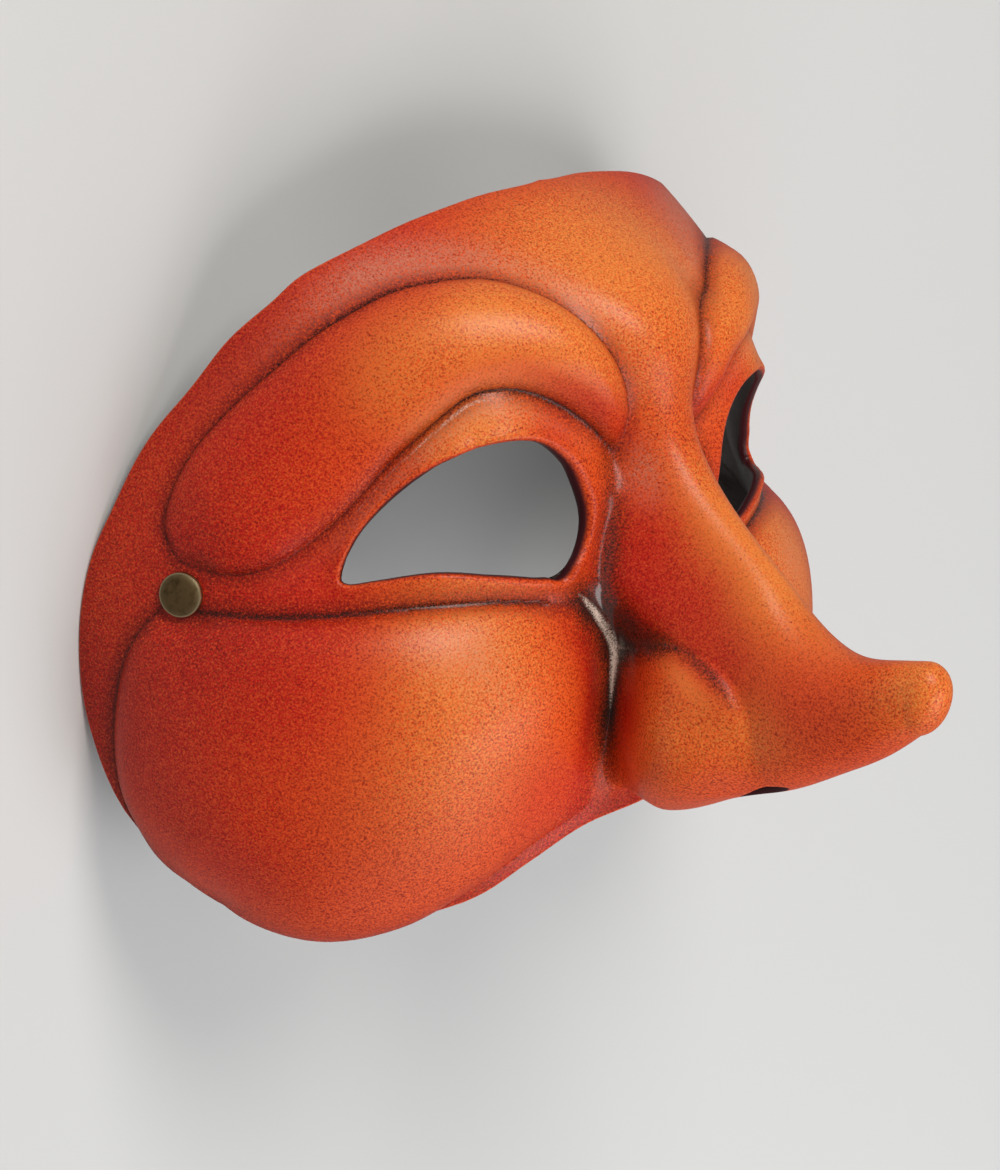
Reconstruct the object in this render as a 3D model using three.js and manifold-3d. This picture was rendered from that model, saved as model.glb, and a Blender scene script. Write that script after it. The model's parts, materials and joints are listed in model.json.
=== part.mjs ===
// A commedia dell'arte half mask of moulded leather, lying face up on its back edge.
// Millimetres, +Z up out of the face, +Y towards the forehead, X across the face.

import * as THREE from 'three';
import { mergeVertices } from 'three/addons/utils/BufferGeometryUtils.js';
import Module from 'manifold-3d';

const wasm = await Module();
wasm.setup();

// Leather
const leatherThickness = 2.5;
const wrap = 85;                       // leather along the face for one radian round the head
const pointSpacing = 7;                // between neighbouring points of the plain leather
const edgeSpacing = 4.1;               // between points along the rim
const eyeSpacing = 3;                  // between points round an eye hole
const creaseSpacing = 3.7;             // between points along a crease
const creaseReach = 2.3;               // from a crease to the rows of points beside it

// The head form under the leather: [height up the face, size there]
const halfWidth = through([[-90, 56], [-60, 73.5], [-30, 82], [0, 85.5], [30, 74], [55, 61], [75, 57]]);
const front = through([[-90, -15.5], [-60, -3.5], [-30, -3], [0, 0], [30, 0], [55, -5], [75, -42]]);
const depth = through([[-90, 58], [-60, 76], [-30, 86], [0, 92], [30, 89], [55, 70.5], [75, 60]]);
const foreheadRise = 3.2;
const foreheadHalfWidth = 28;

// Lines on the right half of the leather: [along the leather from the middle, up the face]
const rim = line([[0, 72.4], [22, 71.3], [52, 68.1], [82, 62.1], [97.5, 56.3], [108.8, 47.6], [109.6, 34.5],
  [110.4, 18], [113.7, 5], [116.3, -10], [118.3, -28], [117.7, -44], [111.8, -54.6], [101.2, -63.6], [84, -67.1],
  [64, -65.2], [44.5, -60.2], [31, -53.8], [17, -48.4], [0, -46.8]]);
const eye = line([[66.3, 7.5], [63.5, 15.7], [55.4, 26.3], [44.2, 31.3], [33, 31], [23.6, 25.6], [19, 17],
  [19.2, 9.3], [24.7, 4.1], [37, 5.5], [48.4, 7], [59.2, 5.8], [65, 5.2]], true);
const browTop = line([[12.5, 25], [11.8, 29], [12.4, 35], [17.2, 44.8], [26, 54.6], [38.8, 59.3], [55, 59.6],
  [72, 57], [88, 50.5], [96, 41], [99, 28], [99.5, 15], [96, 8]]);
const browLow = line([[12.5, 25], [15, 27.4], [20, 31.4], [27.6, 35.9], [37.4, 39.7], [46.2, 40.9], [53, 38.7],
  [60.3, 29.1], [67.2, 18.2], [76.6, 9.4], [86, 6.2], [96, 8]]);
const cheekTop = line([[97, 0.5], [90.2, -1.1], [73, -1.2], [55.3, 0.3], [46.1, 0.7], [36.6, 0.4],
  [26.4, -1], [19.8, -1.8]]);
const cheekFront = line([[19.8, -1.8], [16.2, -7.5], [14, -14], [13.5, -24], [14.4, -34], [15.5, -44]]);
const cheekLow = line([[15.5, -44], [30, -49.5], [45, -57.5], [62, -65.5], [80, -69.5], [98, -67], [108.4, -60]]);
const cheekBack = line([[102, -63], [108.4, -61.2], [113, -56], [114.9, -46], [114.5, -38], [110, -22.9],
  [104.5, -9], [97, 0.5]]);

// Relief of the leather over the head form
const browHeight = 3.9;
const browFullness = 0.6;
const browLean = 0.85;                 // below 1 the crest of the brow lies nearer its upper crease
const browValley = 1.2;
const innerValley = 0.8;
const cheekHeight = 13.5;
const cheekFillet = 2;
const lidHeight = 4.2;
const underLidHeight = 1.2;
const beadHeight = 0.8;
const beadReach = 2.2;
const lidValley = 1.7;
const templeValley = { depth: 2.2, along: 70, up: 11, reachAlong: 11, reachUp: 9 };
const leftBrow = { aside: 2.2, drop: 4.6 };
const leftRimRise = 2.6;

// Nose: the line where it leaves the face, then sections along its length, each
// [out from the face, top, bottom, half width, height of the widest place, fullness above, below]
const noseFoot = { top: 45, bottom: -43.5, halfWidth: 17.2, middle: -16, roundAbove: 0.62, roundBelow: 0.4, cut: 6.8 };
const noseSections = [
  [0, 38, -43.5, 16.5, -22, 0.75, 0.5],
  [8, 29.5, -44.8, 16.3, -24, 0.95, 0.58],
  [22, 13.5, -39.6, 12, -24, 1.05, 0.8],
  [35, -0.4, -35, 11.1, -20, 1.05, 0.9],
  [46.6, -5.9, -29, 9.5, -17, 1, 1],
  [56.6, -4.8, -23.2, 7.6, -13.7, 1, 1],
  [64, -3.2, -17.4, 5.4, -9.9, 1, 1],
];
const noseLength = 64;
const noseTipRound = 5.6;
const noseTipStart = 0.88;             // share of the nose's rings that come before its round tip
const wing = { out: 18, up: -28, reachFront: 15.5, reachBack: 18, reachUp: 18.5, height: 6.2 };
const grooveCut = 7.2;
const nostril = { out: 31, aside: 4.4, length: 12, width: 4.6 };
const noseRings = 17;
const noseSpokes = 40;

// Rivets and the way the mask lies
const rivetPlace = [94.5, 1.9];
const rivet = { capRadius: 4.3, capEdge: 0.7, capRise: 0.75, shankRadius: 1.5, flangeRadius: 3.6, flange: 0.8 };
const rivetSeat = 5;                   // radius of the leather pressed flat under a rivet
const clearance = 0.35;
const rivetFacets = 16;
const holeFacets = 20;
const lean = -6.5;                     // degrees that the face tips so that it lies at rest
const flatDepth = 0.8;                 // how much of the rim's lowest part is pared to a flat

const leather = new THREE.MeshStandardMaterial({ color: 0xd9541f, roughness: 0.5, metalness: 0 });
const brass = new THREE.MeshStandardMaterial({ color: 0x8d7645, roughness: 0.4, metalness: 1 });

// A natural cubic spline through [place, value] pairs, straight beyond both ends
function through(knots) {
  const last = knots.length - 1;
  const bend = knots.map(() => 0);
  const pivot = knots.map(() => 0);
  for (let i = 1; i < last; i++) {
    const before = knots[i][0] - knots[i - 1][0];
    const after = knots[i + 1][0] - knots[i][0];
    const change = (knots[i + 1][1] - knots[i][1]) / after - (knots[i][1] - knots[i - 1][1]) / before;
    const weight = 2 * (before + after) - before * pivot[i - 1];
    pivot[i] = after / weight;
    bend[i] = (6 * change - before * bend[i - 1]) / weight;
  }
  for (let i = last - 1; i > 0; i--) {
    bend[i] -= pivot[i] * bend[i + 1];
  }
  return (x) => {
    let i = 0;
    while (i < last - 1 && x > knots[i + 1][0]) {
      i++;
    }
    const span = knots[i + 1][0] - knots[i][0];
    const t = THREE.MathUtils.clamp((x - knots[i][0]) / span, 0, 1);
    const beyond = x - knots[i][0] - t * span;
    const slope = (knots[i + 1][1] - knots[i][1]) / span;
    const bow = ((1 - t) ** 3 - (1 - t)) * bend[i] + (t ** 3 - t) * bend[i + 1];
    const steepening = (1 - 3 * (1 - t) ** 2) * bend[i] + (3 * t ** 2 - 1) * bend[i + 1];
    return knots[i][1] + slope * span * t + span ** 2 / 6 * bow + beyond * (slope + span / 6 * steepening);
  };
}

// A smooth line through a few [along, up] places, as a close row of points
function line(places, closed = false) {
  const points = places.map(([along, up]) => new THREE.Vector3(along, up, 0));
  const curve = new THREE.CatmullRomCurve3(points, closed, 'catmullrom', 0.5);
  return curve.getPoints(6 * (closed ? places.length : places.length - 1)).map((p) => [p.x, p.y]);
}

function between(low, high, x) {
  return THREE.MathUtils.clamp((x - low) / (high - low), 0, 1);
}

function ease(low, high, x) {
  const t = between(low, high, x);
  return t * t * (3 - 2 * t);
}

function distanceTo(row, along, up) {
  let best = Infinity;
  for (let i = 1; i < row.length; i++) {
    const [a, b] = row[i - 1];
    const [da, db] = [row[i][0] - a, row[i][1] - b];
    const t = between(0, da * da + db * db, (along - a) * da + (up - b) * db);
    best = Math.min(best, Math.hypot(along - a - t * da, up - b - t * db));
  }
  return best;
}

function inside(outline, along, up) {
  let odd = false;
  outline.forEach(([a, b], i) => {
    const [c, d] = outline[(i + 1) % outline.length];
    if ((b > up) !== (d > up) && along < (c - a) * (up - b) / (d - b) + a) {
      odd = !odd;
    }
  });
  return odd;
}

// Height of a full round edge: 0 at a crease, level from `width` on
function swell(distance, width, power, fillet = 0) {
  const eased = Math.hypot(distance, fillet) - fillet;
  return (1 - (1 - between(0, width, eased)) ** 2) ** power;
}

// Height of a roll between two lines, 1 along its crest, which leans towards the first
function roll(one, other, power, leaning) {
  const share = (one / (one + other + 1e-9)) ** leaning;
  return (4 * share * (1 - share)) ** power;
}

// Height of the lip round the eye: it rises from the crease and is full at the eye's edge
function lip(fromEye, fromCrease) {
  const share = fromCrease / (fromEye + fromCrease + 1e-9);
  return share ** 0.7 * (1 - 0.2 * share ** 6);
}

function hill(distance, reach) {
  return Math.exp(-((distance / reach) ** 2));
}

const brow = [...browTop, ...browLow.slice().reverse()];
const cheek = [...cheekTop, ...cheekFront.slice(1), ...cheekLow.slice(1), ...cheekBack.slice(2)];

function browRelief(fromTop, fromLow) {
  return browHeight * between(0, 20, fromTop + fromLow) ** 0.7 * roll(fromTop, fromLow, browFullness, browLean);
}

function cheekRelief(along, up, fromTop) {
  return cheekHeight * swell(fromTop, 30, 0.6)
    * swell(distanceTo(cheekFront, along, up), 34, 0.7, cheekFillet)
    * swell(distanceTo(cheekLow, along, up), 36, 0.7)
    * swell(distanceTo(cheekBack, along, up), 36, 0.7);
}

function lidRelief(along, up, fromEye, fromBrow, fromCheek) {
  const lidSpread = ease(90, 78, along) * (1 - 0.75 * ease(54, 64, along)) * (1 - 0.7 * ease(50, 22, along));
  const lid = lidHeight * ease(18, 8, fromEye + fromBrow) * lidSpread * lip(fromEye, fromBrow);
  const underSpread = ease(14, 19, along) * ease(58, 46, along);
  const under = underLidHeight * ease(14, 5, fromEye + fromCheek) * underSpread * lip(fromEye, fromCheek);
  return beadHeight * hill(fromEye, beadReach) + under + (lid - under) * ease(7, 12, up);
}

// Shallow furrows that the tool left beside the creases and behind the eye
function furrows(along, up, fromTop, fromLow, inBrow, inCheek) {
  const besideTop = (browValley + innerValley * ease(45, 25, along)) * ease(96, 80, along) * ease(14, 24, up)
    * hill(fromTop, inBrow ? 3.5 : 6);
  const besideLow = inCheek ? 0 : lidValley * ease(50, 30, along) * hill(fromLow, 4);
  const temple = templeValley.depth * hill(along - templeValley.along, templeValley.reachAlong)
    * hill(up - templeValley.up, templeValley.reachUp);
  return besideTop + besideLow + temple;
}

function relief(along, up) {
  const fromTop = distanceTo(browTop, along, up);
  const fromLow = distanceTo(browLow, along, up);
  const fromCheek = distanceTo(cheekTop, along, up);
  const pressed = ease(rivetSeat, 1.8 * rivetSeat, Math.hypot(along - rivetPlace[0], up - rivetPlace[1]));
  const inBrow = inside(brow, along, up);
  const inCheek = inside(cheek, along, up);
  let height = 0;
  if (inCheek) {
    height = cheekRelief(along, up, fromCheek);
  } else if (inBrow) {
    height = browRelief(fromTop, fromLow);
  } else {
    height = lidRelief(along, up, distanceTo(eye, along, up), fromLow, fromCheek);
  }
  return pressed * (height - furrows(along, up, fromTop, fromLow, inBrow, inCheek));
}

function headForm(along, up) {
  const turn = along / wrap;
  const rise = foreheadRise * ease(1, 0, Math.abs(along) / foreheadHalfWidth)
    * ease(5, 30, up) * ease(95, 65, up);
  const out = front(up) - depth(up) * (1 - Math.cos(turn)) + rise;
  return new THREE.Vector3(halfWidth(up) * Math.sin(turn), up, out);
}

function raised(along, up, height) {
  const step = 0.5;
  const across = headForm(along + step, up).sub(headForm(along - step, up));
  const upward = headForm(along, up + step).sub(headForm(along, up - step));
  const outward = across.cross(upward).normalize();
  return headForm(along, up).addScaledVector(outward, height);
}

function face(along, up) {
  return raised(along, up, relief(Math.abs(along), up));
}

// The left half of the face: its brow was pressed a little lower, and its lower rim is cut a little higher
function leftFace(along, up) {
  const moved = ease(17, 30, along) * ease(98, 75, along) * ease(36, 52, up)
    * ease(1, 10, distanceTo(rim, along, up));
  const rise = leftRimRise * ease(22, 48, along) * ease(80, 56, along) * ease(-42, -58, up);
  return raised(along + leftBrow.aside * moved, up - leftBrow.drop * moved + rise, relief(along, up));
}

// The nose: `ring` runs from 0 on the face to 1 at the tip, `angle` from -90 degrees below to 90 above
const noseSize = [1, 2, 3, 4, 5, 6].map((column) => through(noseSections.map((row) => [row[0], row[column]])));

// How much of the groove between nose and cheek there is at each height
function besideCheek(up) {
  return ease(0, -12, up) * ease(-44, -24, up);
}

function footPlace(angle, share = 1) {
  const [c, s] = [Math.max(Math.cos(angle), 0), Math.sin(angle)];
  const half = s > 0 ? noseFoot.top - noseFoot.middle : noseFoot.middle - noseFoot.bottom;
  const power = s > 0 ? noseFoot.roundAbove : noseFoot.roundBelow;
  const up = noseFoot.middle + share * half * s;
  return [share * (noseFoot.halfWidth - noseFoot.cut * besideCheek(up)) * c ** power, up];
}

function noseSection(out, angle) {
  const [top, bottom, half, widest, above, below] = noseSize.map((size) => size(out));
  const [c, s] = [Math.max(Math.cos(angle), 0), Math.sin(angle)];
  const up = widest + s * (s > 0 ? top - widest : widest - bottom);
  const narrowed = half - grooveCut * besideCheek(up) * ease(20, 1, out);
  const ahead = (out - wing.out) / (out > wing.out ? wing.reachFront : wing.reachBack);
  const higher = (up - wing.up) / wing.reachUp;
  const softFront = 0.5 * ease(-0.1, 0.7, ahead) * ease(0.6, 0, higher);
  const softness = 0.6 + Math.max(softFront, 1.2 * ease(0, 1, -higher));
  const bulge = wing.height * between(0, 1, 1 - ahead ** 2 - higher ** 2) ** softness * ease(0.05, 0.5, c);
  return new THREE.Vector3(narrowed * c ** (s > 0 ? above : below) + bulge, up, out);
}

function noseTip(ring, angle) {
  const turn = (ring - noseTipStart) / (1 - noseTipStart) * Math.PI / 2;
  const middle = new THREE.Vector3(0, noseSize[3](noseLength), noseLength);
  const place = noseSection(noseLength, angle).sub(middle).multiplyScalar(Math.cos(turn)).add(middle);
  return place.add(new THREE.Vector3(0, 0.25, 1).multiplyScalar(noseTipRound * Math.sin(turn)));
}

function nose(ring, angle) {
  const [along, up] = footPlace(angle, 1 - 0.9 * Math.min(ring / 0.6, 1));
  const root = face(along, up);
  const flank = 0.12 + 0.3 * ease(-0.2, 0.9, Math.sin(angle));
  const shape = ring < noseTipStart
    ? noseSection(noseLength * ring / noseTipStart, angle) : noseTip(ring, angle);
  return root.lerp(shape, ease(0, 1, ring / flank));
}

// Angles of the nose's spokes, chosen so that they leave its foot evenly spaced
function spokeAngles() {
  const tries = Array.from({ length: 721 }, (_, i) => (i / 720 - 0.5) * Math.PI);
  const run = [0];
  tries.slice(1).forEach((angle, i) => {
    const [a, b] = [footPlace(tries[i]), footPlace(angle)];
    run.push(run[i] + Math.hypot(b[0] - a[0], b[1] - a[1]));
  });
  const count = noseSpokes / 2;
  return Array.from({ length: count + 1 }, (_, k) => {
    const i = run.findIndex((length) => length >= run[720] * k / count - 1e-9);
    return tries[i];
  });
}

// Rings stand closer together at the foot and at the tip
function ringShare(i) {
  const share = i / noseRings;
  return share - 0.55 * Math.sin(2 * Math.PI * share) / (2 * Math.PI);
}

// Points spaced along a row of points, both ends kept
function spaced(row, spacing) {
  const path = new THREE.CurvePath();
  for (let i = 1; i < row.length; i++) {
    path.add(new THREE.LineCurve(new THREE.Vector2(...row[i - 1]), new THREE.Vector2(...row[i])));
  }
  return path.getSpacedPoints(Math.round(path.getLength() / spacing)).map((p) => [p.x, p.y]);
}

// A row of points moved aside by a distance
function aside(row, distance) {
  return row.map(([along, up], i) => {
    const [before, after] = [row[Math.max(i - 1, 0)], row[Math.min(i + 1, row.length - 1)]];
    const length = Math.hypot(after[0] - before[0], after[1] - before[1]);
    const [ahead, rise] = [(after[0] - before[0]) / length, (after[1] - before[1]) / length];
    return [along + distance * rise, up - distance * ahead];
  });
}

// Delaunay triangles over flat points, each turned to face +Z
function triangulate(points) {
  const far = 5000;
  const all = [...points, [-far, -far], [far, -far], [0, far]];
  const circle = (a, b, c) => {
    const [ax, ay, bx, by, cx, cy] = [...all[a], ...all[b], ...all[c]];
    const twice = 2 * (ax * (by - cy) + bx * (cy - ay) + cx * (ay - by));
    const [a2, b2, c2] = [ax * ax + ay * ay, bx * bx + by * by, cx * cx + cy * cy];
    const x = (a2 * (by - cy) + b2 * (cy - ay) + c2 * (ay - by)) / twice;
    const y = (a2 * (cx - bx) + b2 * (ax - cx) + c2 * (bx - ax)) / twice;
    return { corners: twice > 0 ? [a, b, c] : [a, c, b], x, y, reach: Math.hypot(ax - x, ay - y) };
  };
  let triangles = [circle(points.length, points.length + 1, points.length + 2)];
  points.forEach(([x, y], i) => {
    const edges = new Map();
    triangles = triangles.filter((t) => {
      if (Math.hypot(x - t.x, y - t.y) >= t.reach) {
        return true;
      }
      t.corners.forEach((a, k) => {
        const b = t.corners[(k + 1) % 3];
        if (!edges.delete(`${b} ${a}`)) {
          edges.set(`${a} ${b}`, [a, b]);
        }
      });
      return false;
    });
    edges.forEach(([a, b]) => triangles.push(circle(a, b, i)));
  });
  return triangles.map((t) => t.corners).filter((corners) => corners.every((i) => i < points.length));
}

// The right half of the leather as triangles of places on it, without the nose
function halfSheet() {
  const foot = spokeAngles().map((angle) => footPlace(angle));
  const middle = spaced([[0, rim[0][1]], [0, noseFoot.top]], edgeSpacing);
  const edges = [...spaced(rim, edgeSpacing), ...middle.slice(1, -1), ...foot, ...spaced(eye, eyeSpacing).slice(1)];
  const outline = [...rim, ...foot];
  const points = [...edges];
  const room = (place, gap) => points.every(([a, b]) => Math.hypot(a - place[0], b - place[1]) > gap);
  const onLeather = ([a, b]) => a > 0 && inside(outline, a, b) && !inside(eye, a, b);
  const seat = Array.from({ length: 12 }, (_, i) => [
    rivetPlace[0] + rivetSeat * Math.cos(i * Math.PI / 6), rivetPlace[1] + rivetSeat * Math.sin(i * Math.PI / 6)]);
  points.push(rivetPlace, ...seat);
  for (const reach of [0, creaseReach, -creaseReach]) {
    for (const crease of [browLow, browTop, cheekTop, cheekBack]) {
      for (const place of aside(spaced(crease, creaseSpacing), reach)) {
        if (onLeather(place) && room(place, 0.55 * creaseSpacing)) {
          points.push(place);
        }
      }
    }
  }
  const rowHeight = pointSpacing * Math.sqrt(0.75);
  for (let up = rim[0][1], odd = 0; up > -80; up -= rowHeight, odd = 1 - odd) {
    for (let along = (0.6 + odd / 2) * pointSpacing; along < 120; along += pointSpacing) {
      if (onLeather([along, up]) && room([along, up], 0.62 * pointSpacing)) {
        points.push([along, up]);
      }
    }
  }
  const centre = (corners, axis) => corners.reduce((sum, i) => sum + points[i][axis] / 3, 0);
  const kept = triangulate(points).filter((corners) => {
    const [a, b] = [centre(corners, 0), centre(corners, 1)];
    return inside(outline, a, b) && !inside(eye, a, b);
  });
  return kept.map((corners) => corners.map((i) => points[i]));
}

function mirrored(triangles) {
  return triangles.map(([a, b, c]) => [a, c, b].map((p) => new THREE.Vector3(-p.x, p.y, p.z)));
}

function noseTriangles() {
  const triangles = [];
  const angles = spokeAngles();
  for (let ring = 0; ring < noseRings; ring++) {
    for (let spoke = 1; spoke < angles.length; spoke++) {
      const [a, b, c, d] = [[ring, spoke - 1], [ring, spoke], [ring + 1, spoke], [ring + 1, spoke - 1]]
        .map(([r, k]) => nose(ringShare(r), angles[k]));
      triangles.push([a, b, c]);
      if (ring < noseRings - 1) {
        triangles.push([a, c, d]);
      }
    }
  }
  return triangles;
}

function outerTriangles() {
  const sheet = halfSheet();
  const noseSkin = noseTriangles();
  const left = sheet.map((corners) => corners.map(([along, up]) => leftFace(along, up)));
  const right = sheet.map((corners) => corners.map(([along, up]) => face(along, up)));
  return [...left, ...noseSkin, ...mirrored([...right, ...noseSkin])];
}

function geometryOf(triangles) {
  const positions = triangles.flat().flatMap((p) => [p.x, p.y, p.z]);
  const geometry = new THREE.BufferGeometry();
  geometry.setAttribute('position', new THREE.Float32BufferAttribute(positions, 3));
  return mergeVertices(geometry, 1e-3);
}

// Closes a sheet into a solid: a second skin one thickness behind it, and walls along every open edge
function thicken(sheet, thickness) {
  sheet.computeVertexNormals();
  const { position, normal } = sheet.attributes;
  const index = sheet.index.array;
  const [points, corners] = [[], []];
  for (const side of [0, -thickness]) {
    for (let i = 0; i < position.count; i++) {
      const outward = new THREE.Vector3().fromBufferAttribute(normal, i);
      points.push(...new THREE.Vector3().fromBufferAttribute(position, i).addScaledVector(outward, side));
    }
  }
  const open = new Map();
  for (let i = 0; i < index.length; i += 3) {
    const [a, b, c] = index.slice(i, i + 3);
    corners.push(a, b, c, a + position.count, c + position.count, b + position.count);
    for (const [from, to] of [[a, b], [b, c], [c, a]]) {
      if (!open.delete(`${to} ${from}`)) {
        open.set(`${from} ${to}`, [from, to]);
      }
    }
  }
  for (const [from, to] of open.values()) {
    corners.push(to, from, from + position.count, to, from + position.count, to + position.count);
  }
  const solid = new THREE.BufferGeometry();
  solid.setAttribute('position', new THREE.Float32BufferAttribute(points, 3));
  solid.setIndex(corners);
  return solid;
}

function toSolid(geometry) {
  const bare = geometry.clone();
  bare.deleteAttribute('normal');
  bare.deleteAttribute('uv');
  const merged = mergeVertices(bare, 1e-4);
  const vertProperties = new Float32Array(merged.attributes.position.array);
  const triVerts = new Uint32Array(merged.index.array);
  return new wasm.Manifold(new wasm.Mesh({ numProp: 3, vertProperties, triVerts }));
}

function fromSolid(solid) {
  const { vertProperties, triVerts } = solid.getMesh();
  const geometry = new THREE.BufferGeometry();
  geometry.setAttribute('position', new THREE.Float32BufferAttribute(vertProperties, 3));
  geometry.setIndex(Array.from(triVerts));
  return geometry;
}

function outwardAt(place, one, other) {
  return one.clone().sub(place).cross(other.clone().sub(place)).normalize();
}

// Where a rivet sits: on the leather, with +Y along the way out of it
function rivetPose(side) {
  const [along, up] = rivetPlace;
  const place = face(along, up);
  const outward = outwardAt(place, face(along + 1, up), face(along, up + 1));
  place.x *= side;
  outward.x *= side;
  const turn = new THREE.Quaternion().setFromUnitVectors(new THREE.Vector3(0, 1, 0), outward);
  return new THREE.Matrix4().compose(place, turn, new THREE.Vector3(1, 1, 1));
}

function nostrilCutter(side) {
  const ring = nostril.out / noseLength * noseTipStart;
  const bottom = nose(ring, -Math.PI / 2);
  const further = nose(ring + 0.05, -Math.PI / 2);
  const forward = further.clone().sub(bottom).normalize();
  const outward = new THREE.Vector3(1, 0, 0).cross(forward).normalize();
  const across = new THREE.Vector3(1, 0, 0);
  const cutter = new THREE.CylinderGeometry(0.5, 0.5, 8 * leatherThickness, holeFacets);
  cutter.scale(nostril.width, 1, nostril.length);
  const pose = new THREE.Matrix4().makeBasis(across, outward, across.clone().cross(outward));
  pose.setPosition(bottom.x + side * nostril.aside, bottom.y, bottom.z);
  return cutter.applyMatrix4(pose);
}

function maskSolid() {
  let solid = toSolid(thicken(geometryOf(outerTriangles()), leatherThickness));
  for (const side of [-1, 1]) {
    const hole = new THREE.CylinderGeometry(1, 1, 6 * leatherThickness, holeFacets);
    hole.scale(rivet.shankRadius + clearance, 1, rivet.shankRadius + clearance);
    solid = solid.subtract(toSolid(hole.applyMatrix4(rivetPose(side))));
    solid = solid.subtract(toSolid(nostrilCutter(side)));
  }
  return solid;
}

// Cap, shank and back flange in one profile: radius, then height over the leather's outer side
function rivetMesh(name, side) {
  const back = -leatherThickness - 1.4 * clearance;
  const capSide = clearance + rivet.capEdge;
  const profile = [
    [0, back - rivet.flange],
    [rivet.flangeRadius - 0.25, back - rivet.flange],
    [rivet.flangeRadius, back - rivet.flange + 0.25],
    [rivet.flangeRadius, back],
    [rivet.shankRadius, back],
    [rivet.shankRadius, clearance],
    [rivet.capRadius, clearance],
  ];
  for (const share of [1, 0.85, 0.6, 0.3, 0]) {
    profile.push([share * rivet.capRadius, capSide + rivet.capRise * (1 - share * share)]);
  }
  const turned = new THREE.LatheGeometry(profile.map(([r, h]) => new THREE.Vector2(r, h)), rivetFacets);
  const mesh = new THREE.Mesh(fromSolid(toSolid(turned)), brass);
  mesh.name = name;
  mesh.applyMatrix4(rivetPose(side));
  return mesh;
}

// The worn form lies down: it tips a little, and the rim's lowest part is pared flat where it rests
const mask = new THREE.Group();
mask.rotation.x = THREE.MathUtils.degToRad(lean);
const skyward = new THREE.Vector3(0, Math.sin(mask.rotation.x), Math.cos(mask.rotation.x));
const moulded = maskSolid();
const corners = fromSolid(moulded).attributes.position;
let lowest = Infinity;
for (let i = 0; i < corners.count; i++) {
  lowest = Math.min(lowest, skyward.dot(new THREE.Vector3().fromBufferAttribute(corners, i)));
}
const shell = new THREE.Mesh(fromSolid(moulded.trimByPlane(skyward.toArray(), lowest + flatDepth)), leather);
shell.name = 'leather_mask';
mask.add(shell, rivetMesh('rivet_right', -1), rivetMesh('rivet_left', 1));
const extent = new THREE.Box3().setFromObject(mask, true);
mask.position.set(0, -(extent.min.y + extent.max.y) / 2, -extent.min.z);

export default mask;
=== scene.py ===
import json
import math

import bpy
import numpy as np
from mathutils import Matrix, Vector
from mathutils.geometry import delaunay_2d_cdt
from mathutils.kdtree import KDTree


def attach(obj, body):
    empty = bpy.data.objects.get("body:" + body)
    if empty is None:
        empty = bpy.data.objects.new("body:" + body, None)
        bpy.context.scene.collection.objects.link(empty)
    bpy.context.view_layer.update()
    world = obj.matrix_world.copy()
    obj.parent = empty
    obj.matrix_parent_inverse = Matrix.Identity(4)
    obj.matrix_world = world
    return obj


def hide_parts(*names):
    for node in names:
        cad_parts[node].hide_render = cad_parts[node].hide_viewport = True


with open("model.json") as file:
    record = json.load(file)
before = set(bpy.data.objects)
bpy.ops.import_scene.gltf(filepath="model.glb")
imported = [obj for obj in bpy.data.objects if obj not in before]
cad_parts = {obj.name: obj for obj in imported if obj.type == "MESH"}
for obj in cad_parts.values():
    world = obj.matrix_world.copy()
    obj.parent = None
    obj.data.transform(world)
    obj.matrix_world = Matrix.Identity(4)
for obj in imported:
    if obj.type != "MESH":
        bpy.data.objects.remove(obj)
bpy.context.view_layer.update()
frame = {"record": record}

bpy.ops.object.select_all(action="DESELECT")
MM = 0.001


# Leather mask: the form
# The real mask is one sheet of leather, wetted, pressed with a horn tool over a carved wooden form and
# hardened. A place on it is (along, up): millimetres of leather from the middle line, and height.
leather_thickness = 2.5
wrap = 85.0
at_once = 4000


def through(knots):
    """A natural cubic spline through [place, value] pairs, straight beyond both ends."""
    x, y = np.array(knots, float).T
    span = np.diff(x)
    slope = np.diff(y) / span
    system = np.eye(len(x))
    right = np.zeros(len(x))
    for i in range(1, len(x) - 1):
        system[i, i - 1:i + 2] = span[i - 1], 2 * (span[i - 1] + span[i]), span[i]
        right[i] = 6 * (slope[i] - slope[i - 1])
    bend = np.linalg.solve(system, right)

    def value(at):
        i = np.clip(np.searchsorted(x, at) - 1, 0, len(x) - 2)
        t = np.clip((at - x[i]) / span[i], 0, 1)
        beyond = at - x[i] - t * span[i]
        bow = ((1 - t) ** 3 - (1 - t)) * bend[i] + (t ** 3 - t) * bend[i + 1]
        steepening = (1 - 3 * (1 - t) ** 2) * bend[i] + (3 * t ** 2 - 1) * bend[i + 1]
        straight = y[i] + slope[i] * span[i] * t
        return straight + span[i] ** 2 / 6 * bow + beyond * (slope[i] + span[i] / 6 * steepening)
    return value


def line(places, closed=False):
    """A smooth line through a few (along, up) places, as a close row of points."""
    p = np.array(places, float)
    if closed:
        p = np.vstack([p[-1:], p, p[:2]])
    else:
        p = np.vstack([2 * p[0] - p[1], p, 2 * p[-1] - p[-2]])
    t = np.linspace(0, 1, 6, endpoint=False)[:, None]
    rows = []
    for a, b, c, d in zip(p, p[1:], p[2:], p[3:]):
        rows.append(b + (c - a) / 2 * t + (2 * a - 5 * b + 4 * c - d) / 2 * t ** 2
                    + (3 * b - a - 3 * c + d) / 2 * t ** 3)
    return np.vstack(rows + [p[-2:-1]])


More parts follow.
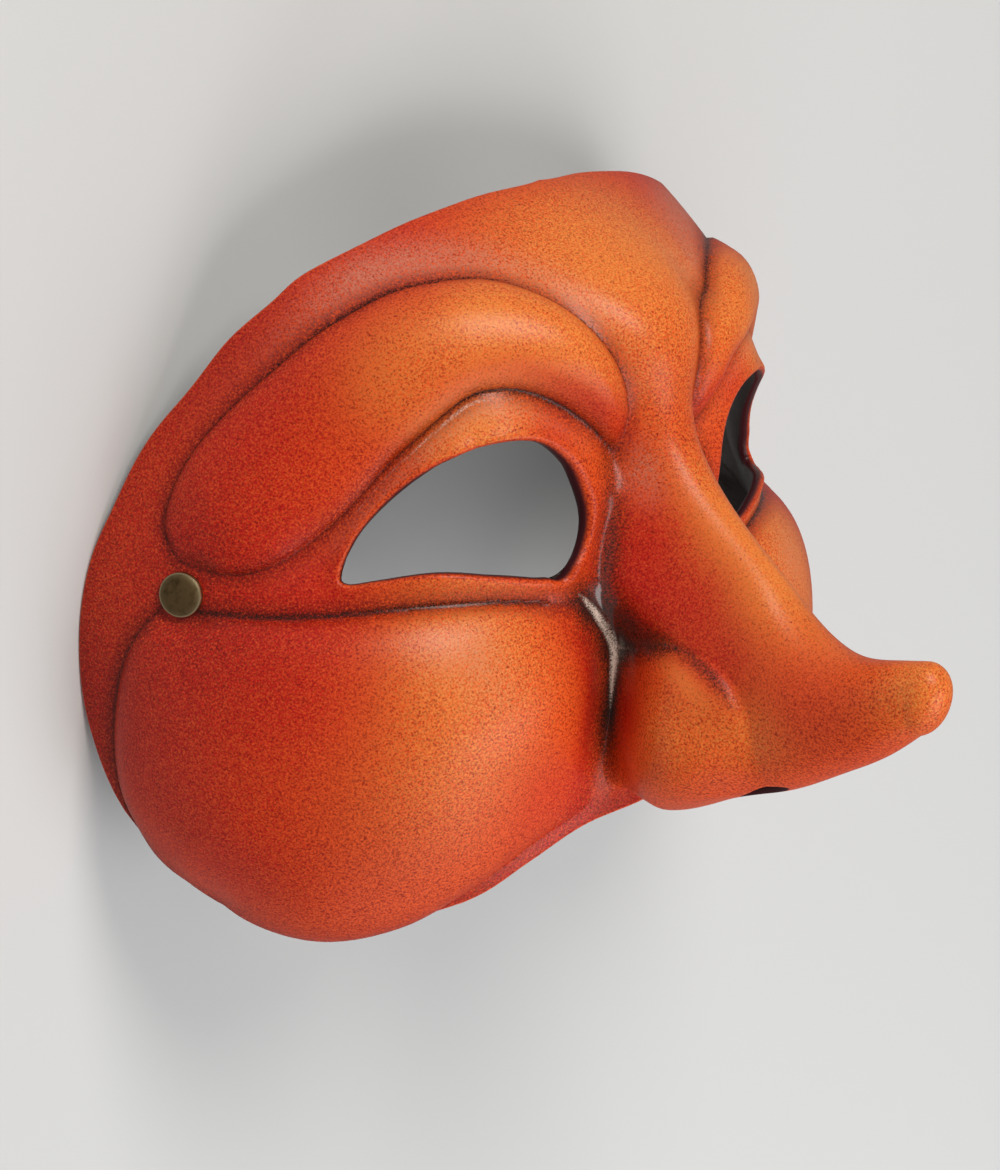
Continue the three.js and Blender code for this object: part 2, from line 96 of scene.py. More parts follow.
# The head form at each height: its half width, how far out its middle line lies, and its depth
half_width = through([[-90, 56], [-60, 73.5], [-30, 82], [0, 85.5], [30, 74], [55, 61], [75, 57]])
front = through([[-90, -15.5], [-60, -3.5], [-30, -3], [0, 0], [30, 0], [55, -5], [75, -42]])
depth = through([[-90, 58], [-60, 76], [-30, 86], [0, 92], [30, 89], [55, 70.5], [75, 60]])
forehead_rise = 3.2
forehead_half_width = 28.0

# The edges and creases of the right half, in (along, up)
rim = line([[0, 72.4], [22, 71.3], [52, 68.1], [82, 62.1], [97.5, 56.3], [108.8, 47.6], [109.6, 34.5],
            [110.4, 18], [113.7, 5], [116.3, -10], [118.3, -28], [117.7, -44], [111.8, -54.6],
            [101.2, -63.6], [84, -67.1], [64, -65.2], [44.5, -60.2], [31, -53.8], [17, -48.4], [0, -46.8]])
eye = line([[66.3, 7.5], [63.5, 15.7], [55.4, 26.3], [44.2, 31.3], [33, 31], [23.6, 25.6], [19, 17],
            [19.2, 9.3], [24.7, 4.1], [37, 5.5], [48.4, 7], [59.2, 5.8], [65, 5.2]], closed=True)
brow_top = line([[12.5, 25], [11.8, 29], [12.4, 35], [17.2, 44.8], [26, 54.6], [38.8, 59.3], [55, 59.6],
                 [72, 57], [88, 50.5], [96, 41], [99, 28], [99.5, 15], [96, 8]])
brow_low = line([[12.5, 25], [15, 27.4], [20, 31.4], [27.6, 35.9], [37.4, 39.7], [46.2, 40.9], [53, 38.7],
                 [60.3, 29.1], [67.2, 18.2], [76.6, 9.4], [86, 6.2], [96, 8]])
cheek_top = line([[97, 0.5], [90.2, -1.1], [73, -1.2], [55.3, 0.3], [46.1, 0.7], [36.6, 0.4], [26.4, -1],
                  [19.8, -1.8]])
cheek_front = line([[19.8, -1.8], [16.2, -7.5], [14, -14], [13.5, -24], [14.4, -34], [15.5, -44]])
cheek_low = line([[15.5, -44], [30, -49.5], [45, -57.5], [62, -65.5], [80, -69.5], [98, -67], [108.4, -60]])
cheek_back = line([[102, -63], [108.4, -61.2], [113, -56], [114.9, -46], [114.5, -38], [110, -22.9],
                   [104.5, -9], [97, 0.5]])
brow = np.vstack([brow_top, brow_low[::-1]])
cheek = np.vstack([cheek_top, cheek_front[1:], cheek_low[1:], cheek_back[2:]])
brow_height, brow_full_width = 3.9, 20
brow_fullness, brow_lean = 0.6, 0.85
brow_valley, inner_valley = 1.2, 0.8
valley_within, valley_above = 3.5, 6.0
left_brow_drop, left_brow_aside, left_rim_rise = 4.6, 2.2, 2.6
lid_height, under_lid_height = 4.2, 1.2
bead_height, bead_width = 0.8, 2.2
lid_valley, lid_valley_width = 1.7, 4.0
temple_valley, temple_dip, temple_reach = 2.2, (70, 11), (11, 9)
rivet_place, rivet_seat = (94.5, 1.9), 5.0
cheek_height = 13.5
# the cheek's four edges: how far in from each it still swells, how flat it starts, and a fillet at its foot
cheek_edges = [(cheek_top, 30, 0.6, 0.0), (cheek_front, 34, 0.7, 2.0), (cheek_low, 36, 0.7, 0.0),
               (cheek_back, 36, 0.7, 0.0)]


def between(low, high, x):
    """How far x has come from low to high, from 0 to 1."""
    return np.clip((x - low) / (high - low), 0, 1)


def ease(low, high, x):
    """The same, but setting off and arriving gently."""
    t = between(low, high, x)
    return t * t * (3 - 2 * t)


def distance_to(row, places):
    """Shortest distance from each place to a row of points, in the plane or in space, so many at once."""
    a, ab = row[:-1], np.diff(row, axis=0)
    squared = (ab * ab).sum(1) + 1e-12
    nearest = np.empty(len(places))
    for i in range(0, len(places), at_once):
        w = places[i:i + at_once, None] - a[None]
        t = np.clip((w * ab).sum(-1) / squared, 0, 1)
        w -= t[..., None] * ab
        nearest[i:i + at_once] = np.sqrt((w * w).sum(-1).min(1))
    return nearest


def inside(outline, places):
    """Which places lie within an outline."""
    x, y = places.T
    odd = np.zeros(len(places), bool)
    for (a, b), (c, d) in zip(outline, np.roll(outline, -1, axis=0)):
        if b != d:
            odd ^= ((b > y) != (d > y)) & (x < (c - a) * (y - b) / (d - b) + a)
    return odd


def swell(distance, width, power, fillet):
    """Height of a full round edge: 0 at a crease, level from `width` on."""
    distance = np.sqrt(distance ** 2 + fillet ** 2) - fillet
    return (1 - (1 - between(0, width, distance)) ** 2) ** power


def roll(one, other, power, leaning):
    """Height of a roll between two lines, 1 along its crest, which leans towards the first."""
    share = (one / (one + other + 1e-9)) ** leaning
    return (4 * share * (1 - share)) ** power


def lip(from_eye, from_crease):
    """Height of the lip round the eye: it rises from the crease and is full at the eye's edge."""
    share = from_crease / (from_eye + from_crease + 1e-9)
    return share ** 0.7 * (1 - 0.2 * share ** 6)


def relief(places):
    """Height of the leather over the head form, for places on its right half."""
    along, up = places.T
    from_top, from_low = distance_to(brow_top, places), distance_to(brow_low, places)
    from_cheek, from_eye = distance_to(cheek_top, places), distance_to(eye, places)
    pressed = ease(rivet_seat, 1.8 * rivet_seat, np.hypot(along - rivet_place[0], up - rivet_place[1]))
    in_brow, in_cheek = inside(brow, places), inside(cheek, places)
    brow_roll = (brow_height * between(0, brow_full_width, from_top + from_low) ** 0.7
                 * roll(from_top, from_low, brow_fullness, brow_lean))
    ball = cheek_height
    for edge, width, power, fillet in cheek_edges:
        ball = ball * swell(distance_to(edge, places), width, power, fillet)
    # the upper lid is highest over the middle of the eye and fades out towards the nose and the temple
    lid = (lid_height * ease(18, 8, from_eye + from_low) * ease(90, 78, along)
           * (1 - 0.75 * ease(54, 64, along)) * (1 - 0.7 * ease(50, 22, along)) * lip(from_eye, from_low))
    under = (under_lid_height * ease(14, 5, from_eye + from_cheek) * ease(14, 19, along)
             * ease(58, 46, along) * lip(from_eye, from_cheek))
    bead = bead_height * np.exp(-(from_eye / bead_width) ** 2)
    plain = bead + under + (lid - under) * ease(7, 12, up)
    valley = ((brow_valley + inner_valley * ease(45, 25, along)) * ease(96, 80, along) * ease(14, 24, up)
              * np.exp(-(from_top / np.where(in_brow, valley_within, valley_above)) ** 2))
    valley += lid_valley * ease(50, 30, along) * np.exp(-(from_low / lid_valley_width) ** 2) * ~in_cheek
    valley += temple_valley * np.exp(-((along - temple_dip[0]) / temple_reach[0]) ** 2
                                     - ((up - temple_dip[1]) / temple_reach[1]) ** 2)
    return pressed * (np.where(in_cheek, ball, np.where(in_brow, brow_roll, plain)) - valley)


def head_form(places):
    """The smooth form of a head that the relief stands on."""
    along, up = places.T
    rise = (forehead_rise * ease(1, 0, np.abs(along) / forehead_half_width)
            * ease(5, 30, up) * ease(95, 65, up))
    out = front(up) - depth(up) * (1 - np.cos(along / wrap)) + rise
    return np.stack([half_width(up) * np.sin(along / wrap), up, out], -1)


def unit(vectors):
    return vectors / np.linalg.norm(vectors, axis=-1, keepdims=True)


def outward(places, form=head_form, step=0.5):
    """The way out of a form at each place, from two short steps either side of it."""
    across = form(places + [step, 0]) - form(places - [step, 0])
    upward = form(places + [0, step]) - form(places - [0, step])
    return unit(np.cross(across, upward))


def face(places):
    """The outer side of the leather at places on the right half of the face."""
    folded = np.stack([np.abs(places[:, 0]), places[:, 1]], -1)
    return head_form(places) + outward(places) * relief(folded)[:, None]


def left_shift(places):
    """How the left half differs from the right: its brow is lower, and its rim is higher below the cheek."""
    along, up = places.T
    moved = (ease(17, 30, along) * ease(98, 75, along) * ease(36, 52, up)
             * ease(1, 10, distance_to(rim, places)))
    raised = left_rim_rise * ease(22, 48, along) * ease(80, 56, along) * ease(-42, -58, up)
    lower = np.stack([along + left_brow_aside * moved, up - left_brow_drop * moved + raised], -1)
    height = relief(places)[:, None]
    return head_form(lower) - head_form(places) + (outward(lower) - outward(places)) * height


# The nose leaves the face along an oval foot and is lofted through sections along its length, each
# (out from the face, top, bottom, half width, height of the widest place, fullness above, below).
foot_top, foot_bottom, foot_half_width, foot_middle = 45.0, -43.5, 17.2, -16.0
nose_sections = np.array([
    [0, 38, -43.5, 16.5, -22, 0.75, 0.5],
    [8, 29.5, -44.8, 16.3, -24, 0.95, 0.58],
    [22, 13.5, -39.6, 12, -24, 1.05, 0.8],
    [35, -0.4, -35, 11.1, -20, 1.05, 0.9],
    [46.6, -5.9, -29, 9.5, -17, 1, 1],
    [56.6, -4.8, -23.2, 7.6, -13.7, 1, 1],
    [64, -3.2, -17.4, 5.4, -9.9, 1, 1]])
nose_size = [through(nose_sections[:, [0, column]]) for column in range(1, 7)]
nose_length = 64.0
nose_tip_round = 5.6
nose_tip_start = 0.88
nose_tip_way = np.array([0, 0.25, 1.0])
wing_out, wing_up, wing_height = 18.0, -28.0, 6.2
wing_reach_front, wing_reach_back, wing_reach_up = 15.5, 18.0, 18.5
groove_cut, foot_cut = 7.2, 6.8
foot_fullness_above, foot_fullness_below = 0.62, 0.4


def groove_share(up):
    """How much of the groove beside the nose is cut at each height: it fades out above and below."""
    return ease(0, -12, up) * ease(-44, -24, up)


def foot_place(angle, share=1.0):
    """A place on the oval foot of the nose, or within it where the share is below 1."""
    c, s = np.maximum(np.cos(angle), 0), np.sin(angle)
    half = np.where(s > 0, foot_top - foot_middle, foot_middle - foot_bottom)
    up = foot_middle + share * half * s
    fullness = np.where(s > 0, foot_fullness_above, foot_fullness_below)
    across = share * (foot_half_width - foot_cut * groove_share(up)) * c ** fullness
    return np.stack([across, up], -1)


def nose_section(out, angle):
    """The nose's cross section so far out from the face, with the swelling of the wing on its side."""
    top, bottom, half, widest, above, below = [size(out) for size in nose_size]
    c, s = np.maximum(np.cos(angle), 0), np.sin(angle)
    up = widest + s * np.where(s > 0, top - widest, widest - bottom)
    half = half - groove_cut * groove_share(up) * ease(20, 1, out)
    ahead = (out - wing_out) / np.where(out > wing_out, wing_reach_front, wing_reach_back)
    higher = (up - wing_up) / wing_reach_up
    softness = 0.6 + np.maximum(ease(-0.1, 0.7, ahead) * ease(0.6, 0, higher), 1.2 * ease(0, 1, -higher))
    bulge = wing_height * between(0, 1, 1 - ahead ** 2 - higher ** 2) ** softness * ease(0.05, 0.5, c)
    return np.stack([half * c ** np.where(s > 0, above, below) + bulge, up, out + 0 * c], -1)


def nose(ring, angle):
    """The nose's surface: `ring` is 0 on the face and 1 at the tip, `angle` a quarter turn up or down."""
    ring, angle = np.broadcast_arrays(np.atleast_1d(ring), np.atleast_1d(angle))
    root = face(foot_place(angle, 1 - 0.9 * np.minimum(ring / 0.6, 1)))
    turn = between(nose_tip_start, 1, ring) * math.pi / 2
    shape = nose_section(np.minimum(nose_length * ring / nose_tip_start, nose_length), angle)
    middle = np.array([0, nose_size[3](nose_length), nose_length])
    tip_shape = (middle + (shape - middle) * np.cos(turn)[:, None]
                 + nose_tip_round * np.sin(turn)[:, None] * nose_tip_way)
    shape = np.where((ring >= nose_tip_start)[:, None], tip_shape, shape)
    # each spoke passes from the face to the nose over a flank, which is longer towards the bridge
    flank = 0.12 + 0.3 * ease(-0.2, 0.9, np.sin(angle))
    return root + (shape - root) * ease(0, 1, ring / flank)[:, None]


# Leather mask: the mesh
# The right half is made first and then mirrored: the outer skin of the face in points that crowd round
# the creases, the nose in rings, a plainer inner skin, and round edges between the two skins.
edge_round = 0.8
edge_steps = 8
crease_band, lip_band = 2.2, 2.6


def spaced(row, spacing):
    """Points evenly spaced along a row of points, both ends kept."""
    run = np.concatenate([[0], np.cumsum(np.linalg.norm(np.diff(row, axis=0), axis=1))])
    at = np.linspace(0, run[-1], max(2, round(run[-1] / spacing) + 1))
    return np.stack([np.interp(at, run, row[:, i]) for i in range(row.shape[1])], -1)


def aside(row, distance):
    """A row of points moved to its right; the last point of a closed row meets the first."""
    closed = np.allclose(row[0], row[-1])
    before, after = (row[-2], row[1]) if closed else (2 * row[0] - row[1], 2 * row[-1] - row[-2])
    ahead = unit(np.vstack([row[1:], after]) - np.vstack([before, row[:-1]]))
    return row + distance * np.stack([ahead[:, 1], -ahead[:, 0]], -1)


def single(places):
    """The same places in single precision, in which they are joined into triangles."""
    return places.astype(np.float32).astype(float)


rim_edge = single(aside(spaced(rim, 0.8), edge_round))
rim_edge[[0, -1], 0] = 0
eye_edge = single(aside(spaced(eye, 0.6), edge_round)[1:])
hole_edge = np.vstack([eye_edge, eye_edge[:1]])
tries = np.linspace(-math.pi / 2, math.pi / 2, 4001)
foot_run = np.concatenate([[0], np.cumsum(np.linalg.norm(np.diff(foot_place(tries), axis=0), axis=1))])


def spoke_angles(count):
    """Angles of the nose's spokes, chosen so that they leave its foot evenly spaced."""
    return np.interp(np.linspace(0, foot_run[-1], count + 1), foot_run, tries)


def hex_grid(spacing):
    """Places over the right half in rows, each half a step on from the one below."""
    rows = []
    for i, up in enumerate(np.arange(-70, 72, spacing * math.sqrt(0.75))):
        along = np.arange(0.5 + i % 2 / 2, 118 / spacing) * spacing
        rows.append(np.stack([along, np.full(len(along), up)], -1))
    return np.vstack(rows)


def near(places, others, reach):
    """Which places lie within reach of any of the others, looked up square by square."""
    cells = {}
    for x, y in others.tolist():
        cells.setdefault((x // reach, y // reach), []).append((x, y))
    found = np.zeros(len(places), bool)
    for k, (x, y) in enumerate(places.tolist()):
        i, j = x // reach, y // reach
        for cell in [(i + a, j + b) for a in (-1, 0, 1) for b in (-1, 0, 1)]:
            if any((x - c) ** 2 + (y - d) ** 2 < reach * reach for c, d in cells.get(cell, ())):
                found[k] = True
                break
    return found


def half_sheet(spokes, plain, near_crease, along_crease):
    """The right half of the face, flat, in points and triangles: rim, eye edge and nose foot come first."""
    foot = single(foot_place(spoke_angles(spokes)))
    foot[[0, -1], 0] = 0
    middle = spaced(np.array([rim_edge[0], foot[-1]]), plain)[1:-1]
    outline = np.vstack([rim_edge, foot])
    border = np.vstack([rim_edge, eye_edge, foot])

    def kept(places):
        return places[(places[:, 0] > 0.3 * plain) & inside(outline, places) & ~inside(eye_edge, places)]
    creases = [brow_top, brow_low, cheek_top, cheek_low, cheek_back]
    spots = kept(np.vstack([spaced(crease, along_crease)[1:-1] for crease in creases]))
    spots = spots[~near(spots, border, 0.6 * along_crease)]
    fine = kept(hex_grid(near_crease))
    from_crease = np.min([distance_to(crease, fine) for crease in creases], axis=0)
    in_band = (from_crease < crease_band) | (distance_to(hole_edge, fine) < lip_band)
    fine = fine[(from_crease > 0.5 * along_crease) & in_band]
    fine = fine[~near(fine, border, 0.6 * near_crease)]
    coarse = kept(hex_grid(plain))
    coarse = coarse[~near(coarse, np.vstack([fine, spots, border]), 0.75 * plain)]
    points = single(np.vstack([rim_edge, eye_edge, foot, middle, spots, fine, coarse]))
    first, count = len(rim_edge), len(eye_edge)
    edges = [(i, i + 1) for i in range(first - 1)]
    edges += [(first + i, first + (i + 1) % count) for i in range(count)]
    edges += [(first + count + i, first + count + i + 1) for i in range(spokes)]
    flat, _, triangles, _, _, _ = delaunay_2d_cdt([Vector(p) for p in points], edges, [], 0, 1e-6)
    assert len(flat) == len(points)
    triangles = np.array(triangles)
    centres = points[triangles].mean(1)
    triangles = triangles[inside(outline, centres) & ~inside(eye_edge, centres)]
    corner = points[triangles]
    turned = np.cross(corner[:, 1] - corner[:, 0], corner[:, 2] - corner[:, 0]) < 0
    triangles[turned] = triangles[turned][:, ::-1]
    return points, triangles


def half_skin(spokes, rings, plain, near_crease, along_crease, depth_below):
    """One skin of the right half, face and nose: points, ways out, triangles and quads."""
    flat, triangles = half_sheet(spokes, plain, near_crease, along_crease)
    ways = outward(flat, face, 1.5)
    sheet = face(flat)
    share = np.arange(rings + 1) / rings
    # the rings lie closer together at the nose's foot and tip
    share = share - 0.55 * np.sin(2 * math.pi * share) / (2 * math.pi)
    ring, angle = np.meshgrid(share, spoke_angles(spokes), indexing="ij")
    grid = nose(ring.ravel(), angle.ravel()).reshape(rings + 1, spokes + 1, 3)
    grid[:, [0, -1], 0] = 0
    wide = np.concatenate([grid[:, 1:2] * [-1, 1, 1], grid, grid[:, -2:-1] * [-1, 1, 1]], axis=1)
    lengthwise = np.gradient(grid, axis=0)
    grid_ways = unit(np.cross(wide[:, 2:] - wide[:, :-2], lengthwise) + 1e-12)
    start = len(rim_edge) + len(eye_edge)
    foot = np.arange(start, start + spokes + 1)
    on_rings = (rings - 1) * (spokes + 1)
    index = np.vstack([foot, len(flat) + np.arange(on_rings).reshape(rings - 1, spokes + 1)])
    tip = len(flat) + on_rings
    points = np.vstack([sheet, grid[1:rings].reshape(-1, 3), grid[rings, :1]])
    ways = np.vstack([ways, grid_ways[1:rings].reshape(-1, 3), unit(nose_tip_way[None])])
    points = points - ways * depth_below
    quads = np.stack([index[:-1, :-1], index[:-1, 1:], index[1:, 1:], index[1:, :-1]], -1).reshape(-1, 4)
    cap = np.stack([index[-1, :-1], index[-1, 1:], np.full(spokes, tip)], -1)
    return points, ways, np.vstack([triangles, cap]), quads, flat


outer, outer_ways, outer_triangles, outer_quads, sheet_flat = half_skin(
    spokes=100, rings=130, plain=1.3, near_crease=0.6, along_crease=0.5, depth_below=0)
inner, _, inner_triangles, inner_quads, inner_flat = half_skin(
    spokes=50, rings=60, plain=2.4, near_crease=1.3, along_crease=1.2, depth_below=leather_thickness)
n_rim, n_eye, n_outer = len(rim_edge), len(eye_edge), len(outer)

# The groove beside the nose is rubbed round with the tool: each spot goes to the middle of those around it
groove = line([[22, -0.6], [17, -4], [12.8, -9], [11.4, -14], [11.2, -24], [11.3, -31], [12, -38]])
groove_reach, groove_full, tool_radius = 6.5, 4.0, 2.0
from_groove = distance_to(face(groove), outer)
worked, around = np.flatnonzero(from_groove < groove_reach), np.flatnonzero(from_groove < 2 * groove_reach)
corners = np.vstack([outer_triangles, outer_quads[:, :3], outer_quads[:, [0, 2, 3]]])
edge_a, edge_b = outer[corners[:, 1]] - outer[corners[:, 0]], outer[corners[:, 2]] - outer[corners[:, 0]]
share_of_skin = np.zeros(n_outer)
np.add.at(share_of_skin, corners, np.linalg.norm(np.cross(edge_a, edge_b), axis=1)[:, None])
middles = np.empty((len(worked), 3))
batch = 500
for i in range(0, len(worked), batch):
    away = outer[worked[i:i + batch], None] - outer[None, around]
    pull = np.exp(-(away * away).sum(-1) / (2 * tool_radius ** 2)) * share_of_skin[around]
    middles[i:i + batch] = pull @ outer[around] / pull.sum(1)[:, None]
outer[worked] += ease(groove_reach, groove_full, from_groove[worked])[:, None] * (middles - outer[worked])


def round_edge(top, way, travel):
    """Rows of points round the cut edge of the leather, from its outer side to its inner side."""
    away = unit(np.cross(way, travel))
    turns = np.linspace(0, math.pi, edge_steps + 1)[1:-1]
    half = leather_thickness / 2
    return [top - half * (1 - math.cos(turn)) * way + edge_round * math.sin(turn) * away for turn in turns]


# The eye's wall slants at the nose: it is cut wider behind
wall_slant, wall_reach = 2.4, 3.0
slant = (wall_slant * np.exp(-(distance_to(hole_edge, inner_flat) / wall_reach) ** 2)
         * ease(38, 24, inner_flat[:, 0]) * (0.6 + 0.4 * ease(8, 20, inner_flat[:, 1])))
slanted = face(inner_flat + np.stack([slant, 0 * slant], -1)) - face(inner_flat)
inner[:len(inner_flat)] += slanted
eye_slant = slanted[n_rim:n_rim + n_eye]
rim_top, rim_way = outer[:n_rim], outer_ways[:n_rim]
rim_row = np.vstack([rim_top[1] * [-1, 1, 1], rim_top, rim_top[-2] * [-1, 1, 1]])
eye_top, eye_way = outer[n_rim:n_rim + n_eye], outer_ways[n_rim:n_rim + n_eye]
rim_rounding = round_edge(rim_top, rim_way, rim_row[2:] - rim_row[:-2])
eye_rounding = round_edge(eye_top, eye_way, np.roll(eye_top, -1, axis=0) - np.roll(eye_top, 1, axis=0))
eye_rounding = [row + eye_slant * (k + 1) / edge_steps for k, row in enumerate(eye_rounding)]

# All the rows of points are joined, and the half is mirrored: points on the middle line are shared
points = np.vstack([outer, inner] + rim_rounding + eye_rounding)
start = n_outer + len(inner)
rim_rows = [np.arange(n_rim)] + [start + k * n_rim + np.arange(n_rim) for k in range(edge_steps - 1)]
rim_rows += [n_outer + np.arange(n_rim)]
start += (edge_steps - 1) * n_rim
along_eye = np.arange(n_eye)
eye_rows = [n_rim + along_eye] + [start + k * n_eye + along_eye for k in range(edge_steps - 1)]
eye_rows += [n_outer + n_rim + along_eye]
quads = [outer_quads, inner_quads[:, ::-1] + n_outer]
for a, b in zip(rim_rows, rim_rows[1:]):
    quads.append(np.stack([a[:-1], a[1:], b[1:], b[:-1]], -1))
for a, b in zip(eye_rows, eye_rows[1:]):
    quads.append(np.stack([a, np.roll(a, -1), np.roll(b, -1), b], -1))
quads = np.vstack(quads)
triangles = np.vstack([outer_triangles, inner_triangles[:, ::-1] + n_outer])
points[np.abs(points[:, 0]) < 1e-6, 0] = 0
shared = points[:, 0] == 0
twin = np.where(shared, np.arange(len(points)), len(points) + np.cumsum(~shared) - 1)
shift = np.zeros(points.shape)
shift[:len(sheet_flat)] = left_shift(sheet_flat)
shift[n_outer + len(inner):][:(edge_steps - 1) * n_rim] = np.tile(shift[:n_rim], (edge_steps - 1, 1))
shift[n_outer:n_outer + len(inner_flat)] = left_shift(inner_flat)
points = np.vstack([points + shift, points[~shared] * [-1, 1, 1]])
faces = []
for corners in (triangles, quads):
    faces += corners.tolist() + twin[corners[:, ::-1]].tolist()

# The worn mask lies down: it leans a little and rests on its temples, where the rim is pared flat
lean = math.radians(-6.5)
to_row = np.array([[1, 0, 0], [0, math.cos(lean), -math.sin(lean)], [0, math.sin(lean), math.cos(lean)]])
rivet_seat_place = face(np.array([rivet_place]))[0]
beside, above = face(np.array(rivet_place) + [[1, 0], [0, 1]])
rivet_way = unit(np.cross(beside - rivet_seat_place, above - rivet_seat_place))
flange_gap, flange = 0.49, 0.8
flange_back = leather_thickness + flange_gap + flange
strap = {mount["name"]: mount["pos_m"] for mount in frame["record"]["mounts"]}["strap_left"]
offset = np.array(strap) / MM - to_row @ (rivet_seat_place - flange_back * rivet_way)
lying = points @ to_row.T + offset
lying[:, 2] = np.maximum(lying[:, 2], 0)
mesh = bpy.data.meshes.new("moulded_leather")
mesh.from_pydata((lying * MM).tolist(), [], faces)
mask = bpy.data.objects.new("moulded_leather", mesh)
bpy.context.collection.objects.link(mask)


def corner_places():
    """Where the points of the mask's mesh are."""
    places = np.empty(3 * len(mesh.vertices), np.float32)
    mesh.vertices.foreach_get("co", places)
    return places.reshape(-1, 3)


before_punching = corner_places()

# The nostrils and the rivets' holes are punched through the leather
nostril_out, nostril_aside, nostril_length, nostril_width = 31.0, 4.4, 12.0, 4.6
hole_radius = 1.6
nostril_ring = nostril_out / nose_length * nose_tip_start
under_nose, further = nose([nostril_ring, nostril_ring + 0.05], -math.pi / 2)
ahead = unit(further - under_nose)
below_nose = np.cross([1.0, 0, 0], ahead)
punches = []
for side in (-1, 1):
    mirrored = np.array([side, 1.0, 1.0])
    punches.append((under_nose + [side * nostril_aside, 0, 0], below_nose, ahead,
                    nostril_width / 2, nostril_length / 2))
    punches.append((rivet_seat_place * mirrored, rivet_way * mirrored, np.array([0, 1.0, 0]),
                    hole_radius, hole_radius))
for centre, way, length_way, half_wide, half_long in punches:
    bpy.ops.mesh.primitive_cylinder_add(vertices=40, radius=1, depth=20)
    punch = bpy.context.object
    side_way = unit(np.cross(length_way, way))
    turned = np.column_stack([side_way * half_wide, np.cross(way, side_way) * half_long, way])
    placed = Matrix(to_row @ turned).to_4x4()
    placed.translation = to_row @ centre + offset
    punch.data.transform(Matrix.Scale(MM, 4) @ placed)
    bpy.context.view_layer.objects.active = mask
    cut = mask.modifiers.new("punched", "BOOLEAN")
    cut.operation, cut.solver, cut.object = "DIFFERENCE", "EXACT", punch
    bpy.ops.object.modifier_apply(modifier="punched")
    bpy.data.objects.remove(punch)
bpy.ops.object.select_all(action="DESELECT")


# Leather mask: the paint
# Orange dye goes on first, then yellow, red and a black line in every crease are sprayed on, which leaves
# a fine speckle, and wax is rubbed over. The inner side is stained dark. The same sprays carry painted
# light:
# painted highlights and sheen in yellow, pink and pale, and painted shade in red and black.
def blobs(places, spots):
    """Soft round clouds of paint, for sprayed colour and for painted light and shade: each is x, y, z,
    radius, strength.
    """
    clear = np.ones(len(places))
    for x, y, z, radius, strength in spots:
        squared = ((places - [x, y, z]) ** 2).sum(1) / radius ** 2
        clear *= 1 - strength * np.exp(-squared)
    return 1 - clear


def strokes(places, rows):
    """Paint along rows of points, sprayed colour and painted light and shade: each row has a width and its
    strengths.
    """
    clear = np.ones(len(places))
    for row, width, strengths in rows:
        for i in range(0, len(places), at_once):
            away = places[i:i + at_once, None] - row[None]
            squared = (away * away).sum(-1)
            along = squared.argmin(1) / (len(row) - 1)
            strength = np.interp(along, np.linspace(0, 1, len(strengths)), strengths)
            clear[i:i + at_once] *= 1 - strength * np.exp(-squared.min(1) / width ** 2)
    return 1 - clear


# yellow sprayed on the raised parts, with painted highlights on the brow crest, the lids, the cheek and the
# nose
yellow_and_highlight_spots = [(5, 58, -11, 24, 0.8), (35, 54, -9, 13, 0.5), (25, 48, -1, 10, 0.5), (38, 36, -12, 8, 0.8),
                (45, 34, -17, 6, 0.6), (36, 55, -13, 7, 0.6), (48, 51, -21, 8, 0.4),
                (5, 17, 10, 8, 0.5), (4, 8, 18, 9, 0.3), (0, 14, 19, 12, 0.8), (0, 4, 28, 13, 0.9),
                (2, -4, 42, 10, 0.5), (3, -6, 66, 9, 0.7), (46, -6, -6, 14, 0.8), (50, -26, -6, 18, 0.45),
                (18, -22, 20, 8, 0.4), (18, -30, 12, 10, 0.2), (13, -21, 33, 8, 0.5),
                (36, 42, -9, 8, 0.4), (52, 43, -24, 9, 0.45)]
# red sprayed on, with painted shade on the temples, towards the rim, low on the cheek and under the brow
red_and_shade_spots = [(10.3, 10, 6.5, 9, 0.85), (12, 2, 5, 8, 0.85), (12, -5, 6, 7, 0.8), (10, 0.6, 17, 9, 0.8),
             (11, -9, 24, 8, 0.6), (8, -10, 42, 11, 0.4), (11, 18, 5, 6, 0.5), (13, -24, 4, 6, 0.7),
             (25, 34, -1, 6, 0.6), (38, 67, -36, 14, 0.6), (77, -7, -44, 22, 0.8), (70, -14, -28, 14, 0.5),
             (64, 4, -32, 12, 0.8), (76, 10, -50, 16, 0.8), (75, -47, -40, 18, 0.6), (28, -40, 3, 12, 0.5),
             (80, -30, -60, 22, 0.7), (70, 35, -45, 22, 0.7), (60, 58, -50, 20, 0.6),
             (82, -20, -70, 16, 0.7)]
# black paint in the groove beside the nose; the faint clouds over the temples and the rim are painted shade
black_and_shade_spots = [(20, 0, -2, 3, 0.5), (17.5, -3.5, -1.8, 3.4, 0.85), (14.5, -4.5, 1, 3.6, 0.9),
               (13, -7.5, 3.5, 3.6, 0.95), (11.5, -12, -0.5, 3.6, 0.95), (13, -9, 8, 3, 0.8),
               (13.3, -8.7, 11.5, 2.4, 0.5), (77, -7, -44, 22, 0.2), (76, 12, -50, 18, 0.2),
               (82, -20, -70, 18, 0.14), (64, -42, -20, 18, 0.12), (66, 50, -50, 20, 0.1),
               (75, -47, -40, 16, 0.1)]


def settled(row):
    """A row of points moved onto the leather and evened out."""
    row = np.array([outer[((outer - spot) ** 2).sum(1).argmin()] for spot in row])
    for _ in range(30):
        row[1:-1] = (row[:-2] + 2 * row[1:-1] + row[2:]) / 4
    return row
